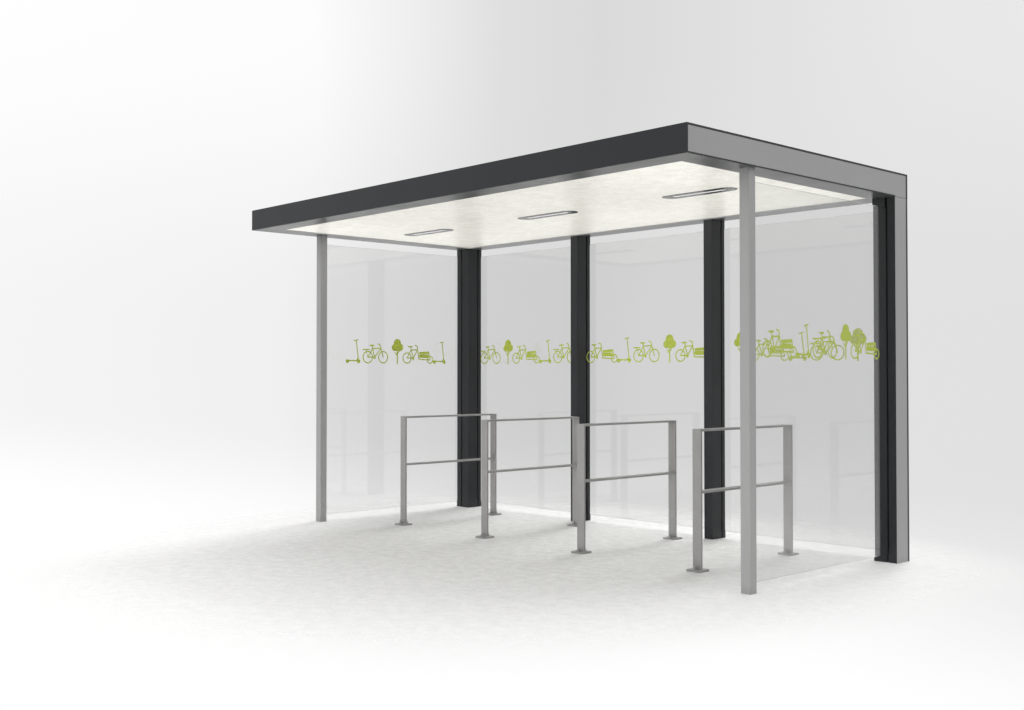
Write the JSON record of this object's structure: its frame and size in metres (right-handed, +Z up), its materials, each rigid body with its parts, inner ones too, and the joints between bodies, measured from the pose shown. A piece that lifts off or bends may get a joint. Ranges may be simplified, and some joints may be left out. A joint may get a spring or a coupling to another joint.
{
  "type": "bicycle shelter",
  "caption": "Open-fronted bike shelter with a flat tray roof on square posts and grooved columns, clear glass sides and leaning racks.",
  "frame": {"origin": "on the ground under the middle of the roof's outline", "axes": "+X along the length, from left to right as seen from the open front; +Y from the open front to the back wall; +Z up"},
  "size_m": [4, 2.1, 2.305],
  "materials": {
    "dark_coat": "satin",
    "pale_coat": "matt",
    "border_coat": "satin",
    "post_coat": "satin",
    "galvanised_steel": "matt",
    "ceiling_board": "satin",
    "lamp_rim": "satin",
    "diffuser": "matt",
    "glazing": "clear",
    "rack_steel": "satin",
    "growing_bed": "rough"
  },
  "bodies": {
    "root": {"front_fascia": "dark_coat", "rear_fascia": "dark_coat", "end_fascia_left": "dark_coat", "end_fascia_right": "dark_coat", "roof_coping": "dark_coat", "roof_panel_left": "pale_coat", "roof_panel_right": "pale_coat", "leg_panel_left": "pale_coat", "leg_panel_right": "pale_coat", "edge_beam_front": "border_coat", "edge_beam_rear": "border_coat", "edge_beam_left": "border_coat", "edge_beam_right": "border_coat", "roof_deck": "galvanised_steel", "roof_bed": "growing_bed", "ceiling_panel": "ceiling_board", "lamp_housing_1": "lamp_rim", "lamp_diffuser_1": "diffuser", "lamp_housing_2": "lamp_rim", "lamp_diffuser_2": "diffuser", "lamp_housing_3": "lamp_rim", "lamp_diffuser_3": "diffuser", "front_post_left": "post_coat", "front_post_right": "post_coat", "corner_column_left": "dark_coat", "corner_column_right": "dark_coat", "middle_column_left": "dark_coat", "middle_column_right": "dark_coat", "rear_glass_left": "glazing", "rear_glass_centre": "glazing", "rear_glass_right": "glazing", "end_glass_left": "glazing", "end_glass_right": "glazing", "rack_1_frame": "rack_steel", "rack_1_cross_bar": "rack_steel", "rack_1_floor_plates": "rack_steel", "rack_2_frame": "rack_steel", "rack_2_cross_bar": "rack_steel", "rack_2_floor_plates": "rack_steel", "rack_3_frame": "rack_steel", "rack_3_cross_bar": "rack_steel", "rack_3_floor_plates": "rack_steel", "rack_4_frame": "rack_steel", "rack_4_cross_bar": "rack_steel", "rack_4_floor_plates": "rack_steel"}
  },
  "joints": []
}
